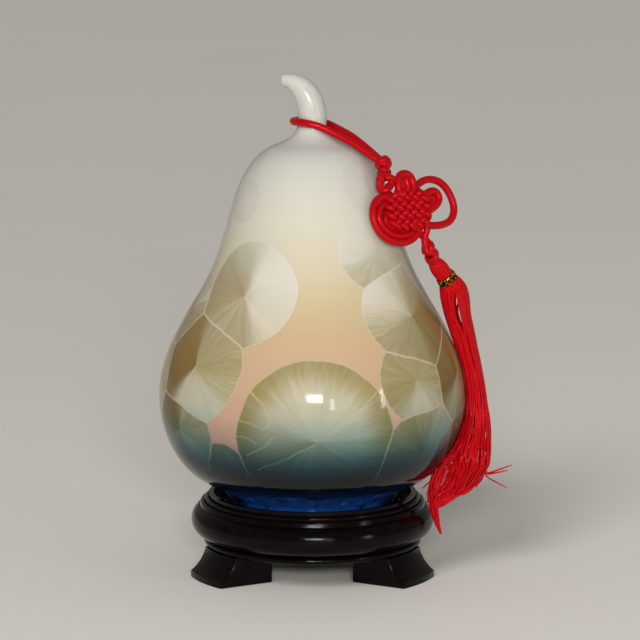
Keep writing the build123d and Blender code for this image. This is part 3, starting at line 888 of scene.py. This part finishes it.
def ears():
    """Loops that stand out of the weave. The tight ones have second rounds inside."""
    rounds = {
        "upper": [(UPPER_EAR_ROUTE, 0.6), (UPPER_EAR_FILL, -0.2)],
        "right": [(RIGHT_EAR_ROUTE, -0.4)],
        "inner": [(INNER_EAR_ROUTE, 0.5), (INNER_EAR_FILL, -0.3)],
        "left": [(LEFT_EAR_ROUTE, 0.0), (LEFT_EAR_FILL, -0.7), (LEFT_EAR_FILL_INNER, -1.2)],
    }
    for name, routes in rounds.items():
        places = [[tuple(on_knot(*point, lift)) for point in route] for route, lift in routes]
        piece = cords(f"cord_{name}_ear", places, CORD_DIAMETER / 2, around=4, along=10)
        dress(piece, "knot", "red_cord", CORD_SILK, f"knot_{name}_ear")


# Tassel

TASSEL_AXIS = (NECK_START - CAP_START).normalized()


# Rounds of the lower knot: share of the way down it, lean and radius
LOWER_KNOT_ROUNDS = [(0.12, 0.9, 1.7), (0.4, -1.0, 2.05), (0.62, 0.8, 1.95), (0.95, -0.5, 1.5)]
LOWER_KNOT_CORD = 1.42


def lower_knot():
    """Small oval knot: rounds of cord that lean across each other."""
    run = CAP_START - TASSEL_PIVOT
    along = run.normalized()
    first = KNOT_FACING.cross(along).normalized()
    second = along.cross(first)
    routes = []
    for share, lean, size in LOWER_KNOT_ROUNDS:
        normal = (along + first * lean).normalized()
        one = normal.cross(second).normalized()
        routes.append(ring(TASSEL_PIVOT + run * share, one, normal.cross(one), size))
    piece = cords("cord_lower_knot", routes, LOWER_KNOT_CORD, around=4)
    dress(piece, "tassel", "red_cord", CORD_SILK, "lower_knot")


# Cap: share of its length and how far its threads stand out there
CAP_PROFILE = [(0.0, 0.6), (0.02, 1.8), (0.25, 2.7), (0.5, 3.05), (0.75, 3.0), (1.0, 2.6)]
CAP_THREADS = 40
CAP_THREAD_RADIUS = 0.42


def tassel_cap():
    """Threads laid side by side over a bead that widens towards the binding."""
    start = CAP_START - TASSEL_AXIS * 1.2
    end = NECK_START + TASSEL_AXIS * 0.8
    first = TASSEL_AXIS.orthogonal().normalized()
    second = TASSEL_AXIS.cross(first)
    routes = []
    for index in range(CAP_THREADS):
        turn = 2 * math.pi * index / CAP_THREADS
        out = first * math.cos(turn) + second * math.sin(turn)
        routes.append([tuple(start.lerp(end, share) + out * reach) for share, reach in CAP_PROFILE])
    piece = cords("tassel_wrapped_cap", routes, CAP_THREAD_RADIUS, around=1, along=4)
    dress(piece, "tassel", "red_thread", THREAD_SILK, "tassel_cap")


BINDING_REACH = 3.2
BINDING_LIFTS = (-1.35, -0.7, 0.0, 0.7, 1.35)
BINDING_TURNS = 34
STEPS_PER_TURN = 6


def gold_binding():
    """Gold thread wound round the tassel's neck."""
    middle = NECK_START + TASSEL_AXIS * 1.2
    first = TASSEL_AXIS.orthogonal().normalized()
    second = TASSEL_AXIS.cross(first)
    rounds = []
    for lift in BINDING_LIFTS:
        rounds.append(ring(middle + TASSEL_AXIS * lift, first, second, BINDING_REACH, count=16))
    wound = []
    steps = BINDING_TURNS * STEPS_PER_TURN
    for step in range(steps + 1):
        circle = 2 * math.pi * step / steps
        small = circle * BINDING_TURNS
        out = first * math.cos(circle) + second * math.sin(circle)
        place = middle + out * (BINDING_REACH + 0.6 * math.cos(small)) + TASSEL_AXIS * 1.9 * math.sin(small)
        wound.append(tuple(place))
    base = cords("gold_rounds", rounds, 0.45, around=2, along=4)
    coil = cords("gold_coil", [wound], 0.24, around=1, along=2)
    piece = join("gold_thread_binding", [base, coil])
    dress(piece, "tassel", "gold_thread", GOLD, "gold_binding")


# Skirt sections: drop below the neck, depth, half thickness, half width, gap to the gourd,
# half width of the slit
SKIRT_SECTIONS = [
    (64.6, -7.0, 5.4, 5.4, 5.4, 0.8),
    (71.0, -6.0, 4.9, 5.8, 2.9, 1.25),
    (79.4, -4.5, 4.4, 6.4, 0.9, 0.2),
    (91.1, -3.0, 3.4, 7.6, 0.6, 0.0),
    (104.7, -2.5, 3.5, 8.6, 0.6, 0.0),
    (114.7, -4.5, 5.2, 9.2, 0.6, 0.0),
    (122.4, -9.0, 7.0, 9.4, 0.2, 0.0),
]
SLIT_SHIFT = 0.8
GOURD_FOLLOWING = 0.8
THREAD_RADIUS = 0.38
TURN_UNDER_HEIGHT = 43.5
# Lower edge of the skirt, where threads turn towards the lock, and the lock that hangs lowest
EDGE_RIGHT = Vector((67.0, -10.5, 37.0))
EDGE_LEFT = Vector((50.6, -15.0, 29.2))
# Lock: place and how far its threads spread there
LOCK_ROUTE = [
    ((45.8, -15.2, 30.4), 2.3),
    ((47.0, -16.0, 24.0), 1.3),
    ((49.1, -16.2, 17.6), 0.3),
]
THREAD_SEED = 41
INNER_THREADS = 50
SKIN_THREADS = 92
SWEEPING_THREADS = 20
GOURD_SIDE_THREADS = 28
# Stray ends at the right: direction in the skirt, and where the end is
STRAY_CORNER = (65.4, -11.0, 39.2)
STRAY_ENDS = [(0.1, (76.4, -11.0, 43.2)), (-0.2, (75.0, -11.5, 41.2)), (-0.4, (74.8, -11.0, 34.2))]
STRAY_LEFT = [(49.0, -13.0, 41.0), (43.6, -15.5, 36.4), (41.8, -16.0, 35.0)]


def skirt_place(index, turn, reach):
    """Place on a section of the skirt, drawn aside where the slit is."""
    drop, depth, thick, wide, gap, slit = SKIRT_SECTIONS[index]
    height = NECK_Z - drop
    middle = gourd_radius(height) + gap + thick
    across = thick * reach * math.cos(turn) - SLIT_SHIFT
    if abs(across) < slit + thick * 0.25 and slit:
        across = math.copysign(slit + abs(across) * 0.5, across)
    deep = depth + wide * reach * math.sin(turn)
    round_gourd = gourd_radius(height) - math.sqrt(gourd_radius(height) ** 2 - deep**2)
    return Vector((middle + across + SLIT_SHIFT - GOURD_FOLLOWING * round_gourd, deep, height))


def shoulder_start(turn, reach):
    """Thread's way out of the binding and over the shoulder."""
    places = []
    fall = (TASSEL_AXIS + Vector((0, 0, -1))).normalized()
    for middle, axis, size in (
        (NECK_START + TASSEL_AXIS * 0.4, TASSEL_AXIS, 2.5),
        (NECK_START + TASSEL_AXIS * 2.6, TASSEL_AXIS, 3.6),
        (SHOULDER_PLACE, fall, 5.0),
    ):
        first = (Vector((1, 0, 0)) - axis * axis.x).normalized()
        second = axis.cross(first)
        if second.y < 0:
            second = -second
        out = first * math.cos(turn) + second * math.sin(turn)
        places.append(middle + out * size * reach)
    return places


def edge_place(across):
    """Place on the skirt's lower edge."""
    share = (EDGE_RIGHT.x - across) / (EDGE_RIGHT.x - EDGE_LEFT.x)
    return EDGE_RIGHT.lerp(EDGE_LEFT, min(max(share, 0.0), 1.15))


def tassel_threads():
    """Loose threads from the binding down to the skirt's lower edge and its lock."""
    random.seed(THREAD_SEED)
    routes = []

    def stray(amount):
        return Vector((random.uniform(-1, 1), random.uniform(-1, 1), random.uniform(-1, 1))) * amount

    def strand(turn, reach, last, ending=(), loose=1.0, thin=1.0):
        route = shoulder_start(turn, reach)
        drift = random.uniform(-1.0, 1.0)
        for index in range(last + 1):
            place = skirt_place(index, turn + 0.05 * drift * index, reach)
            route.append(place + stray(loose * (0.06 + 0.1 * index)))
        route += [Vector(place) for place in ending]
        sized = [(*place, thin) for place in route[:-1]]
        sized.append((*route[-1], thin * 0.6))
        routes.append(sized)

    def lock_ending():
        return [Vector(place) + stray(spread) for place, spread in LOCK_ROUTE[: random.choice((1, 2, 3, 3))]]

    def turned_under(turn, reach, runs, to_lock):
        """Ending that bends to the skirt's lower edge, runs along it, and may go down into the lock."""
        last = skirt_place(len(SKIRT_SECTIONS) - 1, turn, reach)
        across = last.x + random.uniform(-1.5, 1.0)
        lift = random.uniform(0.0, 1.0) ** 2 * 5.0
        places = [Vector((last.x + 0.2, last.y - 1.5, TURN_UNDER_HEIGHT)) + stray(0.7)]
        for _ in range(runs):
            across -= random.uniform(3.5, 5.5)
            place = edge_place(across) + stray(1.0)
            place.z += lift
            places.append(place)
            lift *= 0.55
            if across < EDGE_LEFT.x:
                break
        if to_lock:
            places += lock_ending()
        return places

    # Inside of the skirt, then its skin, whose threads turn under at the lower edge and gather in the lock
    last = len(SKIRT_SECTIONS) - 1
    for _ in range(INNER_THREADS):
        strand(random.uniform(0, 2 * math.pi), random.uniform(0.1, 0.75), random.choice((3, 4, 5)), loose=0.8)
    for index in range(SKIN_THREADS):
        turn = 2 * math.pi * index / SKIN_THREADS
        reach = random.uniform(0.88, 1.0)
        ending = turned_under(turn, reach, random.choice((1, 2, 3, 4)), random.random() < 0.3)
        strand(turn, reach, last, ending, loose=1.2)
    # Threads that sweep down to the left, and those beside the gourd
    for _ in range(SWEEPING_THREADS):
        turn = random.uniform(3.3, 5.4)
        share = random.random()
        sweep = [Vector((50.0 + 9.0 * share, -14.5, 43.0)), Vector((48.0 + 6.0 * share, -15.2, 36.0))]
        ending = [place + stray(1.2) for place in sweep]
        strand(turn, random.uniform(0.85, 1.0), last, ending + lock_ending(), loose=0.9)
    for _ in range(GOURD_SIDE_THREADS):
        turn = random.uniform(2.3, 4.2)
        ending = [Vector((48.4, -13.2, 42.5)) + stray(1.8), Vector((46.2, -14.8, 36.0)) + stray(1.8)]
        strand(turn, random.uniform(0.8, 1.0), last, ending + lock_ending(), loose=0.8)
    # Stray ends
    for turn, end in STRAY_ENDS:
        half_way = Vector(STRAY_CORNER).lerp(Vector(end), 0.5)
        strand(turn, 1.0, last, [STRAY_CORNER, half_way, end], thin=0.9)
    strand(3.4, 1.0, last, STRAY_LEFT, thin=0.9)
    piece = cords("tassel_threads", routes, THREAD_RADIUS, around=1, along=3)
    dress(piece, "tassel", "red_thread", THREAD_SILK, "tassel_head", "tassel_skirt")


loop_piece, loop_exit = hanging_loop()
button_piece = button_knot()
top_loop()
woven_knot()
ears()
lower_knot()
tassel_cap()
gold_binding()
tassel_threads()


# Floor, light and camera

CAMERA_PLACE = Vector((2.9, -1350.0, 322.0))
CAMERA_AIM = Vector((2.9, 0.0, 97.75))
CAMERA_LENS = 200.5
SENSOR_WIDTH = 36.0
# Floor and lamps, in metres, with lamps as name, place, power, width and height
FLOOR_SIZE = 12.0
FLOOR_COLOURS = (srgb(248, 243, 233), srgb(252, 247, 238))
LAMP_AIM = (0.0, 0.0, 0.1)
KEY_PLACE = (-0.7, -1.5, 1.3)
KEY_STRENGTH = 1.15
KEY_ANGLE = math.radians(24.0)
WINDOWS = [
    ("window", (0.06, -1.68, 0.52), 15.0, 0.4, 0.16),
    ("pane", (0.46, -1.64, 0.36), 1.2, 0.06, 0.3),
    ("side_window", (1.35, -1.0, 0.34), 2.4, 0.1, 0.4),
]
ROOM_COLOUR = (1.0, 0.98, 0.95, 1.0)
ROOM_STRENGTH = 0.22


def floor():
    """Wide pale floor."""
    deselect()
    bpy.ops.mesh.primitive_plane_add(size=FLOOR_SIZE, location=(0, 0, 0))
    sheet = bpy.context.object
    sheet.name = "floor"
    material, graph, shader = new_material("pale_floor", Roughness=0.7)
    cloud = graph.noise(object_mm(graph), 0.004, 2.0)
    graph.put(shader.inputs["Base Color"], graph.mix(cloud, *FLOOR_COLOURS))
    sheet.data.materials.append(material)


def lamp(name, kind, place, energy, mirrored, **settings):
    """Lamp that lights the object, and shows in its gloss only where it is mirrored."""
    light = bpy.data.lights.new(name, kind)
    light.energy = energy
    for key, value in settings.items():
        setattr(light, key, value)
    item = bpy.data.objects.new(name, light)
    item.location = Vector(place)
    item.rotation_euler = (Vector(LAMP_AIM) - Vector(place)).to_track_quat("-Z", "Y").to_euler()
    item.visible_glossy = mirrored
    bpy.context.collection.objects.link(item)


def studio():
    floor()
    lamp("key", "SUN", KEY_PLACE, KEY_STRENGTH, False, angle=KEY_ANGLE)
    for name, place, power, width, height in WINDOWS:
        lamp(name, "AREA", place, power, True, shape="RECTANGLE", size=width, size_y=height)
    world = bpy.data.worlds.new("studio")
    world.use_nodes = True
    back = world.node_tree.nodes["Background"]
    back.inputs["Color"].default_value = ROOM_COLOUR
    back.inputs["Strength"].default_value = ROOM_STRENGTH
    bpy.context.scene.world = world
    camera = bpy.data.cameras.new("camera")
    camera.lens = CAMERA_LENS
    camera.sensor_width = SENSOR_WIDTH
    item = bpy.data.objects.new("camera", camera)
    item.location = CAMERA_PLACE * MM
    item.rotation_euler = (CAMERA_AIM - CAMERA_PLACE).to_track_quat("-Z", "Y").to_euler()
    bpy.context.collection.objects.link(item)
    bpy.context.scene.camera = item
    bpy.context.scene.view_settings.view_transform = "Standard"


studio()
